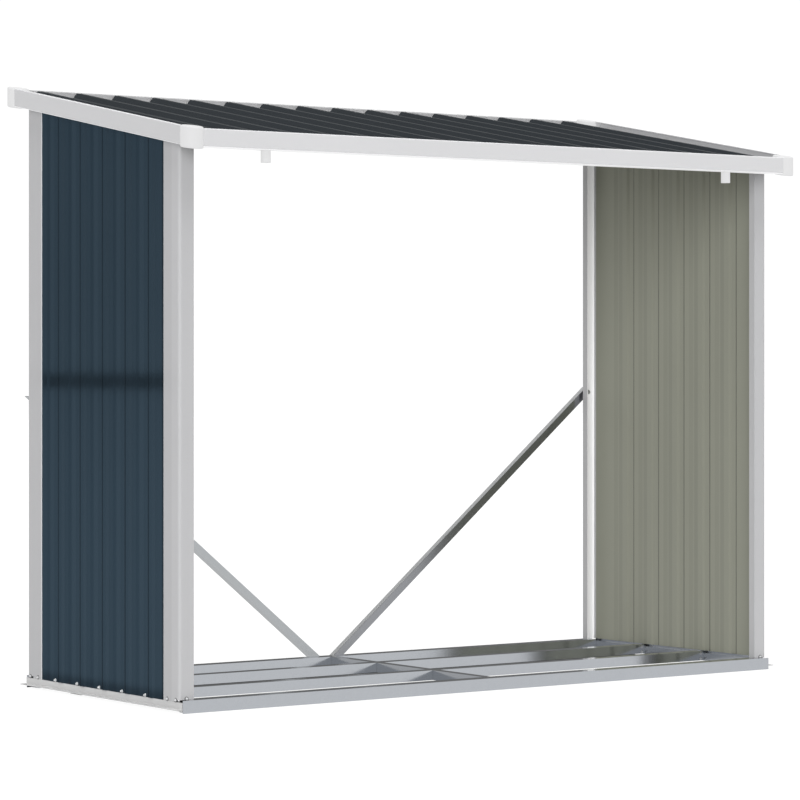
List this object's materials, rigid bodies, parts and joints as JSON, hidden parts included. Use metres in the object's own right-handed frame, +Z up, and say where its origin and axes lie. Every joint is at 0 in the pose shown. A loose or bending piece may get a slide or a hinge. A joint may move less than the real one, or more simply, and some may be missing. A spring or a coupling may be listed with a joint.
{
  "type": "log store",
  "caption": "Open-fronted steel log store with ribbed side walls, corner posts, a raised rail base, rear braces and a ribbed pent roof that drains into a front gutter.",
  "frame": {"origin": "middle of the footprint of the roof, on the floor", "axes": "X to the right along the width, Y from the front to the back, Z up; the open front faces -Y"},
  "size_m": [2.378, 1.104, 1.898],
  "materials": {
    "galvanised_steel": "zinc-coated, smooth",
    "white_steel": "satin powder coat",
    "white_plastic": "moulded, fine grain",
    "coated_sheet": "satin colour coat outside, grey-green back coat inside"
  },
  "bodies": {
    "root": {"rail_front": "galvanised_steel", "rail_back": "galvanised_steel", "rail_left": "galvanised_steel", "rail_right": "galvanised_steel", "rail_mid_front_left": "galvanised_steel", "rail_mid_front_right": "galvanised_steel", "rail_mid_back_left": "galvanised_steel", "rail_mid_back_right": "galvanised_steel", "rail_cross": "galvanised_steel", "post_front_left": "white_steel", "post_front_right": "white_steel", "post_back_left": "white_steel", "post_back_right": "white_steel", "wall_left": "coated_sheet", "wall_right": "coated_sheet", "top_front": "white_steel", "top_back": "white_steel", "top_left": "white_steel", "top_right": "white_steel", "roof_1": "coated_sheet", "roof_2": "coated_sheet", "roof_3": "coated_sheet", "roof_4": "coated_sheet", "gutter_front": "white_steel", "gutter_back": "white_steel", "gutter_floor_left": "white_steel", "gutter_floor_mid": "white_steel", "gutter_floor_right": "white_steel", "trim_back": "white_steel", "verge_left": "white_steel", "verge_right": "white_steel", "cap_front_left": "white_plastic", "cap_front_right": "white_plastic", "cap_back_left": "white_plastic", "cap_back_right": "white_plastic", "spout_left": "white_plastic", "spout_right": "white_plastic", "brace_left": "galvanised_steel", "brace_right": "galvanised_steel", "spacer_left": "galvanised_steel", "spacer_right": "galvanised_steel"}
  },
  "joints": []
}
